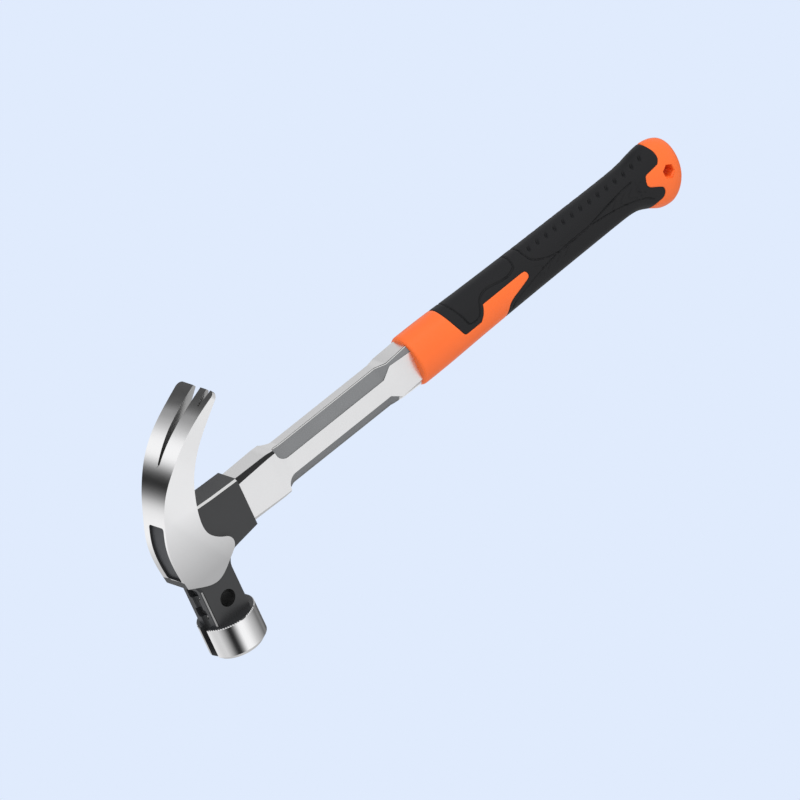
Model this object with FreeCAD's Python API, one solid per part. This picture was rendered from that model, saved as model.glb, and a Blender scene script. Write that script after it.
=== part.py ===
import FreeCAD, Part
import math
import os
from FreeCAD import Vector

# Claw hammer, lying on its side. Sizes in millimetres.
# Row axes: X runs along the handle towards the top of the head ("along"),
# Y runs towards the striking face ("fore"), Z is up, across the head ("side").
# While modelling, the handle's axis crosses the poll's axis near the origin.

# ---- overall sizes ----
head_top = 19.4          # crown of the head, above the handle crossing
collar_end = -31.8       # lower end of the socket collar
grip_front = -147.8      # front lip of the grip
grip_end = -328.3        # tail of the grip
poll_back = 46.3         # back rim of the poll
face_fore = 65.4         # striking face

# ---- head ----
cheek_half = 9.0         # half the width across the polished cheeks
core_half = 8.3          # half the width across the painted neck and collar
arris = 1.3              # chamfer along the edges of neck and collar
poll_radius = 15.3
poll_axis = 0.5          # height of the poll's axis
face_bevel = 2.6
neck_top = 12.1
neck_bottom = -9.3
claw_tip_half = 15.0     # half the width across the claw's tips
slot_root_half = 0.75    # nail slot between the tines
slot_mid_half = 2.2
slot_mouth_half = 3.1
notch_side = 9.5         # small side notch in one tine
notch_length = 9.5
notch_root_half = 0.6
notch_mouth_half = 1.8
side_hole_radius = 4.5
side_hole_fore = 36.0

# ---- eye, cover and wedge ----
tang_half_fore = 10.6
tang_half_side = 5.2
tang_top = 13.6
wedge_depth = 26.0
cover_low_fore = -17.0
cover_high_fore = 13.6
cover_width = 12.0
cover_offset = 1.4       # the cover sits a little towards one cheek
cover_sink = 1.4         # how deep the cover lies below the crown
cover_gap = 0.05

# ---- nail starter ----
pocket_fore = 24.5
pocket_length = 5.5
pocket_width = 9.0
pocket_depth = 2.6
nail_groove_radius = 2.8
nail_groove_depth = 2.2
rest_fore = 36.2         # second wide pocket
magnet_radius = 1.6
magnet_height = 3.0
magnet_rise = 0.3
magnet_fores = (32.6, 43.4)

# ---- shaft ----
tube_wall = 2.0
tube_end = grip_end + 20.3
waist_head_end = collar_end - 31.2
waist_grip_end = grip_front + 19.8
# along, half fore, half side, half of the broad flat, half of the narrow flat
shaft_sections = [
    (collar_end, 12.8, 7.8, 10.2, 5.4),
    (waist_head_end + 11.0, 12.9, 7.8, 11.2, 6.1),
    (waist_head_end + 5.0, 12.3, 7.55, 11.2, 6.4),
    (waist_head_end, 11.3, 7.25, 4.8, 2.9),
    (waist_grip_end, 11.3, 7.25, 4.8, 2.9),
    (waist_grip_end - 6.0, 10.8, 7.2, 9.2, 5.4),
    (grip_front - 2.0, 11.6, 7.3, 8.2, 4.8),
    (grip_front - 20.2, 8.8, 5.7, 6.6, 3.4),
    (tube_end, 8.4, 5.6, 6.2, 3.2),
]

# ---- grip ----
soft_thickness = 2.0
cap_joint = grip_end + 30.3
spigot_length = 22.0
hang_flats = 5.9
hang_along = grip_end + 10.9
hang_fore = 1.2
# along, half fore, half side, how far the middle moves fore
grip_sections = [
    (grip_front, 13.5, 11.4, 0.0),
    (grip_front - 1.6, 14.1, 12.0, 0.0),
    (grip_front - 17.2, 14.0, 11.9, 0.0),
    (grip_front - 42.2, 13.3, 11.3, 0.0),
    (grip_front - 77.2, 12.6, 10.8, 0.0),
    (grip_end + 68.3, 12.2, 10.4, 0.0),
    (grip_end + 43.3, 12.0, 10.2, 0.0),
    (grip_end + 33.3, 12.4, 10.3, 0.3),
    (grip_end + 26.3, 14.2, 10.8, 1.5),
    (grip_end + 19.3, 17.0, 11.3, 3.0),
    (grip_end + 13.3, 17.8, 11.4, 3.3),
    (grip_end + 7.8, 16.4, 10.6, 2.8),
    (grip_end + 3.3, 12.8, 8.6, 1.7),
    (grip_end + 0.6, 8.0, 5.4, 0.8),
    (grip_end, 4.5, 3.0, 0.4),
]

up = Vector(0, 0, 1)


def spot(fore, along, side=0.0):
    return Vector(along, fore, side)


def line(first, last):
    return Part.makeLine(spot(*first), spot(*last))


def arc(first, middle, last):
    return Part.Arc(spot(*first), spot(*middle), spot(*last)).toShape()


def curve(points):
    spline = Part.BSplineCurve()
    spline.interpolate([spot(*point) for point in points])
    return spline.toShape()


def slab(edges, low, high):
    """A flat outline in the side view, given thickness from low to high."""
    face = Part.Face(Part.Wire(Part.__sortEdges__(edges)))
    face.translate(Vector(0, 0, low))
    return face.extrude(Vector(0, 0, high - low))


def outline(points):
    closed = points + points[:1]
    return [line(first, last) for first, last in zip(closed, closed[1:])]


def block(fore_low, fore_high, along_low, along_high, side_low, side_high):
    size = Vector(along_high - along_low, fore_high - fore_low, side_high - side_low)
    return Part.makeBox(size.x, size.y, size.z, Vector(along_low, fore_low, side_low))


def octagon(along, half_fore, half_side, broad, narrow):
    quarter = [(half_fore, narrow), (broad, half_side)]
    corners = quarter + [(-fore, side) for fore, side in reversed(quarter)]
    corners += [(-fore, -side) for fore, side in corners]
    points = [Vector(along, fore, side) for fore, side in corners]
    return Part.makePolygon(points + points[:1])


def inset(section, wall):
    """The same octagon moved inwards by the wall."""
    along, half_fore, half_side, broad, narrow = section
    run = half_fore - broad
    rise = half_side - narrow
    length = math.hypot(run, rise)
    nx = rise / length
    ny = run / length
    new_narrow = narrow - wall * (1 - nx) / ny
    new_broad = broad - wall * (1 - ny) / nx
    return (along, half_fore - wall, half_side - wall, new_broad, new_narrow)


def tube_body(sections):
    wires = [octagon(*section) for section in sections]
    return Part.makeLoft(wires, True, True)


def oval(along, half_fore, half_side, middle):
    fore_end = Vector(along, middle + half_fore, 0)
    side_end = Vector(along, middle, half_side)
    return Part.Wire(Part.Ellipse(fore_end, side_end, Vector(along, middle, 0)).toShape())


def grip_body(sections, inward):
    wires = []
    for along, half_fore, half_side, middle in sections:
        wires.append(oval(along, half_fore - inward, half_side - inward, middle))
    return Part.makeLoft(wires, True, True)


# ================= head =================
# Side outline of cheeks and claw, from the fore corner over the crown to the tips.
tip_top = (-64.6, -39.0)
tip_under = (-63.4, -39.6)
crown = curve([(18.0, 17.9), (10.5, 18.9), (3.5, head_top), (-7.0, 18.6), (-16.5, 15.6),
               (-29.9, 9.4), (-40.8, 1.0), (-51.6, -11.7), (-58.0, -23.3), tip_top])
underside = curve([tip_under, (-55.9, -30.9), (-44.1, -17.6), (-32.0, -9.2), (-18.0, -4.9),
                   (-8.0, -3.6), (-0.5, -4.7), (4.4, -8.6), (7.0, -12.7)])
lobe = arc((7.0, -12.7), (11.4, -15.6), (15.6, -14.0))
nose = curve([(15.6, -14.0), (21.3, -6.8), (24.6, 0.7), (22.3, 9.6), (18.0, 17.9)])
tip = line(tip_top, tip_under)
side_edges = [crown, tip, underside, lobe, nose]
cheek_outline = slab(side_edges, -claw_tip_half - 1, claw_tip_half + 1)

# The claw's width is set square to the line from the nail slot's root to the tips.
slot_root = spot(-43.0, -1.0)
slot_line = spot(-64.0, -38.0) - slot_root
claw_length = slot_line.Length
slot_way = Vector(slot_line).normalize()
slot_out = up.cross(slot_way)


def on_claw(distance, side):
    return slot_root + slot_way * distance + up * side


def claw_prism(edges):
    face = Part.Face(Part.Wire(Part.__sortEdges__(edges)))
    face.translate(slot_out * -90)
    return face.extrude(slot_out * 180)


def claw_line(first, last):
    return Part.makeLine(on_claw(*first), on_claw(*last))


corner = 4.0
plan = []
for sign in (1, -1):
    broad_end = (-110.0, sign * cheek_half)
    flare = (-24.0, sign * cheek_half)
    slot_start = (0.0, sign * (cheek_half + 3.3))
    side_end = (claw_length - corner, sign * (claw_tip_half - 0.3))
    tip_end = (claw_length, sign * (claw_tip_half - corner))
    bend = (claw_length - corner * 0.27, sign * (claw_tip_half - corner * 0.27))
    plan.append(claw_line(broad_end, flare))
    sweep = Part.BSplineCurve()
    sweep.interpolate([on_claw(*flare), on_claw(-12.0, sign * (cheek_half + 1.3)), on_claw(*slot_start),
                       on_claw(20.0, sign * (cheek_half + 4.7)), on_claw(*side_end)])
    plan.append(sweep.toShape())
    plan.append(Part.Arc(on_claw(*side_end), on_claw(*bend), on_claw(*tip_end)).toShape())
plan.append(claw_line((claw_length, claw_tip_half - corner), (claw_length, corner - claw_tip_half)))
plan.append(claw_line((-110.0, cheek_half), (-110.0, -cheek_half)))
cheeks = cheek_outline.common(claw_prism(plan))

# Painted core: neck, step down from the crown, and the socket collar.
core_edges = [
    line((poll_back + 0.5, neck_top), (24.4, neck_top)),
    curve([(24.4, neck_top), (20.5, 13.7), (14.0, 17.0)]),
    line((14.0, 17.0), (-13.0, 14.0)),
    line((-13.0, 14.0), (-15.2, -5.0)),
    line((-15.2, -5.0), (-14.5, -15.0)),
    line((-14.5, -15.0), (-13.9, collar_end)),
    line((-13.9, collar_end), (13.6, collar_end)),
    line((13.6, collar_end), (15.9, -15.6)),
    arc((15.9, -15.6), (18.6, -11.2), (23.5, neck_bottom)),
    line((23.5, neck_bottom), (poll_back + 0.5, neck_bottom)),
    line((poll_back + 0.5, neck_bottom), (poll_back + 0.5, neck_top)),
]
core = slab(core_edges, -core_half, core_half)


def is_arris(edge):
    """Straight or curved edges of the core that lie along its two broad faces."""
    box = edge.BoundBox
    flat = box.ZLength < 0.01 and abs(abs(box.ZMax) - core_half) < 0.01
    at_poll = box.YMin > poll_back
    at_end = box.XMax < collar_end + 0.01
    hidden = box.XMin > neck_top + 0.5
    underneath = box.YMin > 13.0 and box.XMax < 0
    return flat and not (at_poll or at_end or hidden or underneath)


core = core.makeChamfer(arris, [edge for edge in core.Edges if is_arris(edge)])

poll = Part.makeCylinder(poll_radius, face_fore - poll_back, spot(poll_back, poll_axis), Vector(0, 1, 0))
front_rim = [edge for edge in poll.Edges if edge.BoundBox.YMin > face_fore - 0.01]
poll = poll.makeChamfer(face_bevel, front_rim)
back_rim = [edge for edge in poll.Edges if edge.BoundBox.YMax < poll_back + 0.01]
poll = poll.makeChamfer(0.5, back_rim)

head = cheeks.fuse([core, poll])

# Nail slot and side notch.
slot_edges = []
slot_half = [(0.0, slot_root_half), (18.0, slot_mid_half), (claw_length + 4, slot_mouth_half)]
for sign in (1, -1):
    for first, last in zip(slot_half, slot_half[1:]):
        slot_edges.append(claw_line((first[0], sign * first[1]), (last[0], sign * last[1])))
slot_end = slot_half[-1]
slot_edges.append(claw_line((slot_end[0], slot_end[1]), (slot_end[0], -slot_end[1])))
slot_edges.append(claw_line((0.0, slot_root_half), (0.0, -slot_root_half)))
slot = claw_prism(slot_edges)
slot_round = Part.makeCylinder(slot_root_half, 60, slot_root - slot_out * 30, slot_out)
notch_start = claw_length - notch_length
notch_end = claw_length + 2
notch_corners = [
    (notch_start, notch_side - notch_root_half),
    (notch_end, notch_side - notch_mouth_half),
    (notch_end, notch_side + notch_mouth_half),
    (notch_start, notch_side + notch_root_half),
]
notch = claw_prism([claw_line(*pair) for pair in zip(notch_corners, notch_corners[1:] + notch_corners[:1])])
claw_zone = block(-90, -41.0, -60, 30, -30, 30)
head = head.cut(slot.fuse(slot_round).common(claw_zone))
head = head.cut(notch.common(claw_zone))

# Eye through the head, and the recess for its cover.
tang_broad = tang_half_fore - 2.2
tang_narrow = tang_half_side - 1.8
tang_low = (collar_end - 1.0, tang_half_fore, tang_half_side, tang_broad, tang_narrow)
tang_high = (tang_top,) + tang_low[1:]
eye = tube_body([tang_low, tang_high])
recess_low = cover_offset - cover_width / 2
recess_high = cover_offset + cover_width / 2
recess = block(cover_low_fore, cover_high_fore, tang_top, head_top + 5, recess_low, recess_high)
recess_corners = [edge for edge in recess.Edges if edge.BoundBox.XLength > 1]
recess = recess.makeFillet(1.4, recess_corners)
lowered = cheek_outline.translated(Vector(-cover_sink, 0, 0))
head = head.cut(eye).cut(recess)

# Side hole through the neck.
side_hole = Part.makeCylinder(side_hole_radius, 60, spot(side_hole_fore, 0, -30), up)
head = head.cut(side_hole)

# Nail starter on top of the neck: two wide pockets joined by a groove out to the face.
for start in (pocket_fore, rest_fore):
    pocket = block(start, start + pocket_length, neck_top - pocket_depth, head_top + 4,
                   -pocket_width / 2, pocket_width / 2)
    uprights = [edge for edge in pocket.Edges if edge.BoundBox.XLength > 1]
    head = head.cut(pocket.makeFillet(1.2, uprights))
groove_axis = neck_top - nail_groove_depth + nail_groove_radius
groove = Part.makeCylinder(nail_groove_radius, 60, spot(pocket_fore + 2, groove_axis), Vector(0, 1, 0))
groove_top = block(pocket_fore + 2, 90, groove_axis, 40, -nail_groove_radius, nail_groove_radius)
head = head.cut(groove.fuse(groove_top))
# The magnets' flat tops stand a little above the round groove's lowest line.
magnet_low = neck_top - nail_groove_depth + magnet_rise - magnet_height
magnets = []
for fore in magnet_fores:
    seat = spot(fore, magnet_low)
    magnets.append(Part.makeCylinder(magnet_radius, magnet_height, seat, Vector(1, 0, 0)))
    well_depth = groove_axis - magnet_low
    head = head.cut(Part.makeCylinder(magnet_radius, well_depth, seat, Vector(1, 0, 0)))
head = head.removeSplitter()

# ================= cover, shaft and wedge =================
cover_room = block(cover_low_fore + cover_gap, cover_high_fore - cover_gap, tang_top, head_top + 5,
                   recess_low + cover_gap, recess_high - cover_gap)
cover_corners = [edge for edge in cover_room.Edges if edge.BoundBox.XLength > 1]
eye_cover = cover_room.makeFillet(1.4, cover_corners).common(lowered)

outer_shaft = tube_body(shaft_sections)
tang = tube_body([(collar_end,) + tang_low[1:], tang_high])
hollow_sections = [inset(section, tube_wall) for section in shaft_sections]
first = hollow_sections[0]
hollow_sections[0] = (collar_end - 6.0,) + first[1:]
hollow = tube_body(hollow_sections)
tang_inner_low = inset((collar_end - 2.0,) + tang_low[1:], tube_wall)
tang_inner_high = (tang_top,) + tang_inner_low[1:]
neck_down = tube_body([hollow_sections[0], tang_inner_low])
tang_inner = tube_body([tang_inner_low, tang_inner_high])
shaft = outer_shaft.fuse(tang).cut(hollow).cut(neck_down).cut(tang_inner).removeSplitter()

wedge = tube_body([(tang_top - wedge_depth,) + tang_inner_low[1:], tang_inner_high])

# ================= grip =================
grip_outer = grip_body(grip_sections, 0.0)
# The core starts behind the front lip and stops inside the tail.
grip_core = grip_body(grip_sections[2:-3], soft_thickness)


def from_front(points):
    """Outline points given by how far they lie behind the grip's front lip."""
    return [(fore, grip_front - behind) for fore, behind in points]


def from_tail(points):
    """Outline points given by how far they lie ahead of the grip's tail."""
    return [(fore, grip_end + ahead) for fore, ahead in points]


# Side outline of the soft cover: its front edge with the tongue, then its tail edge.
soft_edges = [
    curve(from_front([(-20, 24.8), (-12.5, 25.0), (-6.9, 26.3), (0.0, 28.6)])),
    arc(*from_front([(0.0, 28.6), (1.5, 29.6), (1.9, 31.2)])),
    line(*from_front([(1.9, 31.2), (1.9, 40.6)])),
    curve(from_front([(1.9, 40.6), (-0.8, 43.2), (-5.2, 45.8)])),
    line(*from_front([(-5.2, 45.8), (-5.2, 72.6)])),
    arc(*from_front([(-5.2, 72.6), (-2.9, 75.2), (-0.6, 73.2)])),
    line(*from_front([(-0.6, 73.2), (2.6, 63.0)])),
    curve(from_front([(2.6, 63.0), (4.2, 60.2), (7.9, 58.1), (24, 56.2)])),
    line((24, grip_front - 56.2), (24, grip_end + 25.8)),
    curve(from_tail([(24, 25.8), (15.0, 25.1), (12.9, 22.0), (11.8, 18.9), (9.1, 17.2), (6.6, 17.4),
                     (5.0, 19.1)])),
    line(*from_tail([(5.0, 19.1), (2.0, 24.0)])),
    arc(*from_tail([(2.0, 24.0), (0.4, 25.0), (-1.8, 24.7)])),
    line(*from_tail([(-1.8, 24.7), (-3.6, 23.8)])),
    arc(*from_tail([(-3.6, 23.8), (-4.3, 23.1), (-4.6, 22.1)])),
    line(*from_tail([(-4.6, 22.1), (-5.4, 14.7)])),
    curve(from_tail([(-5.4, 14.7), (-7.3, 12.9), (-10.0, 12.3), (-14.0, 13.3), (-20, 16.3)])),
    line((-20, grip_end + 16.3), (-20, grip_front - 24.8)),
]
soft_room = slab(soft_edges, -20, 20)
soft_grip = grip_outer.cut(grip_core).common(soft_room)

hang_corners = []
for step in range(6):
    angle = math.radians(60 * step)
    reach = hang_flats / 2 / math.cos(math.radians(30))
    hang_corners.append((hang_fore + reach * math.cos(angle), hang_along + reach * math.sin(angle)))
hang_hole = slab(outline(hang_corners), -30, 30)

hard = grip_outer.cut(soft_room).fuse(grip_core)
sleeve_room = block(-40, 40, cap_joint, grip_front + 5, -40, 40)
grip_sleeve = hard.common(sleeve_room).cut(outer_shaft)
cap_room = block(-40, 40, grip_end - 5, cap_joint, -40, 40)
spigot_room = block(-40, 40, tube_end, tube_end + spigot_length, -40, 40)
spigot = hollow.common(spigot_room)
tail_cap = hard.common(cap_room).cut(hang_hole).cut(outer_shaft).fuse(spigot)

# ================= place and write =================
nodes = {
    "hammer_head": head,
    "eye_cover": eye_cover,
    "nail_magnets": Part.makeCompound(magnets),
    "shaft_tube": shaft,
    "tang_wedge": wedge,
    "grip_sleeve": grip_sleeve,
    "soft_grip": soft_grip,
    "tail_cap": tail_cap,
}
box = Part.makeCompound(list(nodes.values())).optimalBoundingBox(False, False)
shift = Vector(-box.Center.x, -box.Center.y, -box.ZMin)
os.makedirs("parts", exist_ok=True)
for name, shape in nodes.items():
    placed = shape.translated(shift)
    placed.exportStep("parts/" + name + ".step")
    print(name, placed.isValid(), len(placed.Solids), round(placed.Volume), placed.BoundBox)
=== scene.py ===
import math
import bmesh
import bpy
import numpy as np
from bpy.props import FloatProperty, FloatVectorProperty, IntProperty, PointerProperty
from mathutils import Matrix, Vector


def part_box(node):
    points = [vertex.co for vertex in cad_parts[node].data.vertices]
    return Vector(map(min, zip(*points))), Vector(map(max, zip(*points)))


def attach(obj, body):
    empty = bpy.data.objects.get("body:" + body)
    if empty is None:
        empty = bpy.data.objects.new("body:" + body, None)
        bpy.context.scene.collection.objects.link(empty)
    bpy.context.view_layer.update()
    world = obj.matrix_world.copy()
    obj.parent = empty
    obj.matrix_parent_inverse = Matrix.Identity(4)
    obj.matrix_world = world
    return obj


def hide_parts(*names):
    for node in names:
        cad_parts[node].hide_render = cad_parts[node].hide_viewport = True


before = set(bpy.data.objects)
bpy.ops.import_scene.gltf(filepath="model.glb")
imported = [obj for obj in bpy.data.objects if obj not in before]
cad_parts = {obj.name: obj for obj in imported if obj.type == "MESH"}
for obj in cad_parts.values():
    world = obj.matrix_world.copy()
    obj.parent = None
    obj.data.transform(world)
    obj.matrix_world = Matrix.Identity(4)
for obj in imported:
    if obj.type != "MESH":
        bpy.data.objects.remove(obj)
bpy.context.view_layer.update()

bl_info = {
    "name": "Claw Hammer",
    "version": (1, 0, 0),
    "blender": (4, 5, 0),
    "location": "View3D > Sidebar > Hammer",
    "description": "Builds a claw hammer with a steel head, a fluted shaft and a two-part grip",
    "category": "Add Mesh",
}

MM = 0.001
BODY = "root"

# Sizes in millimetres, shared with the CAD. A place is (fore, along, side): towards the
# striking face, along the handle towards the top of the head, and up across the head.
TANG_TOP = 13.6
FACE_FORE = 65.4
CENTRE = Vector((
    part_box("shaft_tube")[1].x - TANG_TOP * MM,
    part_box("hammer_head")[1].y - FACE_FORE * MM,
    (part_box("hammer_head")[0].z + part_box("hammer_head")[1].z) / 2,
))
COLLAR_END = -31.8
GRIP_FRONT = -147.8
GRIP_END = -328.3
CAP_JOINT = GRIP_END + 30.3
TUBE_END = GRIP_END + 20.3
WAIST_HEAD = COLLAR_END - 31.2
WAIST_GRIP = GRIP_FRONT + 19.8

# Outlines of the claw in the side view, over and under.
CROWN = [(18.0, 17.9), (10.5, 18.9), (3.5, 19.4), (-7.0, 18.6), (-16.5, 15.6), (-29.9, 9.4), (-40.8, 1.0),
         (-51.6, -11.7), (-58.0, -23.3), (-64.6, -39.0)]
UNDERSIDE = [(-63.4, -39.6), (-55.9, -30.9), (-44.1, -17.6), (-32.0, -9.2), (-18.0, -4.9), (-8.0, -3.6),
             (-0.5, -4.7), (4.4, -8.6), (7.0, -12.7)]

# Head zones.
CHEEK_HALF = 9.0
CORE_HALF = 8.3
ARRIS = 1.3
POLL_BACK = 46.3
POLL_RADIUS = 15.3
POLL_AXIS = 0.5
HOLE_FORE, HOLE_RADIUS = 36.0, 4.5
GROOVE_HALF = 2.8
RECESS = (-17.0, 13.6, -4.6, 7.4)        # lowest and highest fore, then side
SLOT_ROOT = (-43.0, -1.0)
SLOT_TIP = (-64.0, -38.0)
SLOT_HALVES = (0.75, 2.2, 3.1)
SLOT_MIDDLE = 18.0
SLOT_RUN_OUT = 4.0
SLOT_FORE = -40.0
NOTCH_LENGTH, NOTCH_SIDE = 9.5, 9.5
NOTCH_REACH = (7.4, 11.6)
NOTCH_HALF = 0.6
NECK_START, NECK_EDGE_START = 18.0, 24.6
NECK_LINE_START = 20
NECK_EDGE_GAP = (-7.0, 9.0)              # the neck's arris faces lie outside this span
COLLAR_SPAN = (-15.3, 24.0)
COLLAR_FLAT = (-12.5, 15.2)
COLLAR_TOP, COLLAR_FOOT = -3.0, -16.5
EYE_HALF, EYE_TOP = 11.0, 13.5
GROOVE_FOOT = 9.0
POLL_CORE, FACE_DEPTH = 4.0, 3.0
NOSE_TOP = 16.5
SATIN_START, SATIN_TOP = 7.0, 17.8
EDGE_TILT = (0.4, 0.92)                  # upward share of an arris face's normal
NEAR = 0.1
CLOSE = 0.08

# Shaft sections: along, half fore, half side, half of the broad flat, half of the narrow
# flat, how deep the fluted panel lies.
TANG = (10.6, 5.2, 8.4, 3.4)
SHAFT = [
    (COLLAR_END, 12.8, 7.7, 10.2, 5.3, 0.0),
    (WAIST_HEAD + 11.0, 12.9, 7.62, 11.2, 5.95, 0.0),
    (WAIST_HEAD + 6.0, 12.5, 7.58, 11.25, 6.4, 0.0),
    (WAIST_HEAD, 11.3, 7.52, 4.8, 2.9, 0.45),
    (WAIST_GRIP, 11.3, 7.34, 4.8, 2.9, 0.45),
    (WAIST_GRIP - 6.0, 10.8, 7.32, 9.2, 5.4, 0.35),
    (GRIP_FRONT - 2.0, 11.6, 7.3, 8.2, 4.8, 0.35),
    (GRIP_FRONT - 20.2, 8.8, 5.7, 6.6, 3.4, 0.0),
    (TUBE_END, 8.4, 5.6, 6.2, 3.2, 0.0),
]
WALL = 2.0

# Grip sections: along, half fore, half side, how far the middle moves fore.
GRIP = [
    (GRIP_FRONT, 12.4, 10.3, 0.0),
    (GRIP_FRONT - 0.2, 13.3, 11.2, 0.0),
    (GRIP_FRONT - 0.9, 13.9, 11.8, 0.0),
    (GRIP_FRONT - 2.2, 14.1, 12.0, 0.0),
    (GRIP_FRONT - 17.2, 14.0, 11.9, 0.0),
    (GRIP_FRONT - 42.2, 13.3, 11.3, 0.0),
    (GRIP_FRONT - 77.2, 12.6, 10.8, 0.0),
    (GRIP_END + 68.3, 12.2, 10.4, 0.0),
    (GRIP_END + 43.3, 12.0, 10.2, 0.0),
    (GRIP_END + 33.3, 12.4, 10.3, 0.3),
    (GRIP_END + 26.3, 14.2, 10.8, 1.5),
    (GRIP_END + 19.3, 17.0, 11.3, 3.0),
    (GRIP_END + 13.3, 17.8, 11.4, 3.3),
    (GRIP_END + 7.8, 16.4, 10.6, 2.8),
    (GRIP_END + 3.3, 12.8, 8.6, 1.7),
    (GRIP_END + 0.8, 8.0, 5.4, 0.8),
    (GRIP_END, 0.6, 0.5, 0.4),
]
SOFT_THICKNESS = 2.0
HANG_HOLE = (1.2, GRIP_END + 10.9)
HANG_FLATS = 5.9


def behind(points):
    """Outline points given by how far they lie behind the grip's front lip."""
    return [(fore, GRIP_FRONT - back) for fore, back in points]


def ahead(points):
    """Outline points given by how far they lie ahead of the grip's tail."""
    return [(fore, GRIP_END + front) for fore, front in points]


# The soft cover's outline in the side view, as runs: True for a curve, False for straights.
SOFT_RUNS = [
    (True, behind([(-20, 24.8), (-12.5, 25.0), (-6.9, 26.3), (0.0, 28.6)])),
    (True, behind([(0.0, 28.6), (1.5, 29.6), (1.9, 31.2)])),
    (True, behind([(1.9, 40.6), (-0.8, 43.2), (-5.2, 45.8)])),
    (True, behind([(-5.2, 72.6), (-4.7, 74.5), (-2.9, 75.2), (-1.3, 74.6), (-0.6, 73.2)])),
    (True, behind([(2.6, 63.0), (4.2, 60.2), (7.9, 58.1), (24, 56.2)])),
    (True, ahead([(24, 25.8), (15.0, 25.1), (12.9, 22.0), (11.8, 18.9), (9.1, 17.2), (6.6, 17.4),
                  (5.0, 19.1)])),
    (True, ahead([(2.0, 24.0), (0.4, 25.0), (-1.8, 24.7)])),
    (True, ahead([(-3.6, 23.8), (-4.3, 23.1), (-4.6, 22.1)])),
    (True, ahead([(-5.4, 14.7), (-7.3, 12.9), (-10.0, 12.3), (-14.0, 13.3), (-20, 16.3)])),
]

# Moulded lines of the soft cover, in the side view.
MOULDED_LINES = [
    behind([(-15.5, 29.8), (-12.9, 30.8), (-6.8, 32.6), (-1.3, 34.5), (-0.9, 37.2), (-1.0, 39.7),
            (-8.1, 46.1), (-8.7, 47.4), (-8.5, 68.2), (-9.6, 71.1), (-12.0, 72.1), (-15.0, 72.4)]),
    behind([(-15.0, 79.4), (-12.0, 79.4), (-9.6, 79.9), (-7.1, 81.0), (-6.1, 82.6), (-5.9, 148.9)]),
    behind([(7.9, 60.7), (5.2, 63.6), (4.3, 66.6), (4.5, 148.5), (6.2, 152.8), (9.0, 156.0)]),
]
LINE_WIDTH = 0.62
PANEL = (-5.9, 4.5, GRIP_FRONT - 82.7, GRIP_FRONT - 151.2)
PANEL_DEPTH, PANEL_LIP, PANEL_SLOPE = 0.28, 0.3, 0.9
# Chevrons: how far behind the front lip, and which way they point.
CHEVRONS = [(83.2, 1), (89.2, 1), (95.2, 1), (100.7, 1), (134.2, -1), (139.7, -1), (145.2, -1), (150.2, -1)]
CHEVRON_ARM = [(-3.4, 2.4), (-0.4, -1.2), (2.6, 2.4)]
CHEVRON_WIDTH, CHEVRON_DEPTH = 0.75, 0.3
DIMPLE_START, DIMPLE_PITCH = GRIP_FRONT - 84.1, 5.877
DIMPLE_SIDE, DIMPLE_SLANT = 5.0, 0.45
DIMPLE_LENGTH, DIMPLE_WIDTH = 1.15, 2.0


# ================= properties =================
class HammerSizes(bpy.types.PropertyGroup):
    """Fine sizes of the visual model and the camera's framing"""
    edge: FloatProperty(
        name="Edge rounding", description="Width of the small bevel on the head's edges",
        default=0.00028, min=0.0, unit="LENGTH")
    shaft_edge: FloatProperty(
        name="Shaft edge rounding", description="Width of the small bevel on the shaft's edges",
        default=0.00022, min=0.0, unit="LENGTH")
    seam: FloatProperty(
        name="Seam gap", description="Half of the gap between the soft cover and the hard grip",
        default=0.00006, min=0.0, unit="LENGTH")
    lip: FloatProperty(
        name="Seam rounding", description="How far the grip's edges sink beside the seam",
        default=0.00028, min=0.0, unit="LENGTH")
    line_depth: FloatProperty(
        name="Line depth", description="Depth of the moulded lines in the soft cover",
        default=0.0006, min=0.0, unit="LENGTH")
    dimple_depth: FloatProperty(
        name="Dimple depth", description="Depth of the dimples along the back of the soft cover",
        default=0.0010, min=0.0, unit="LENGTH")
    dimples: IntProperty(
        name="Dimples", description="Number of dimples in each row of the soft cover", default=14, min=0)
    # painted shadow: the dark line beside each bright arris is painted shade
    shadow_line: FloatProperty(
        name="Paint line", description="Width of the dark line beside each bright arris",
        default=0.00022, min=0.0, unit="LENGTH")
    view_width: FloatProperty(
        name="View width", description="Width that the camera sees at the hammer",
        default=0.3912, min=0.05, unit="LENGTH")
    view_distance: FloatProperty(
        name="Camera distance",
        description="Distance to the hammer. The kit's other views see nothing if it is over about 18 m",
        default=15.0, min=0.3, max=18.0, unit="LENGTH")


class HammerColours(bpy.types.PropertyGroup):
    """Colours of the hammer and the floor"""
    steel: FloatVectorProperty(
        name="Steel", description="Colour of the polished and satin steel", subtype="COLOR",
        default=(0.90, 0.90, 0.91), min=0, max=1)
    paint: FloatVectorProperty(
        name="Head paint", description="Colour of the paint on the neck and collar", subtype="COLOR",
        default=(0.031, 0.031, 0.032), min=0, max=1)
    # painted reflection: the panels' darker grey stands for the darker light they reflect; their recess is
    # real
    panel: FloatVectorProperty(
        name="Shaft panels", description="Colour of the blasted panels along the shaft", subtype="COLOR",
        default=(0.20, 0.20, 0.20), min=0, max=1)
    orange: FloatVectorProperty(
        name="Hard grip", description="Colour of the hard plastic of the grip", subtype="COLOR",
        default=(1.0, 0.158, 0.022), min=0, max=1)
    rubber: FloatVectorProperty(
        name="Soft cover", description="Colour of the soft cover of the grip", subtype="COLOR",
        default=(0.0085, 0.0085, 0.0095), min=0, max=1)
    floor: FloatVectorProperty(
        name="Floor", description="Colour of the studio floor", subtype="COLOR",
        default=(0.7454, 0.8308, 0.9823), min=0, max=1)


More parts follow.
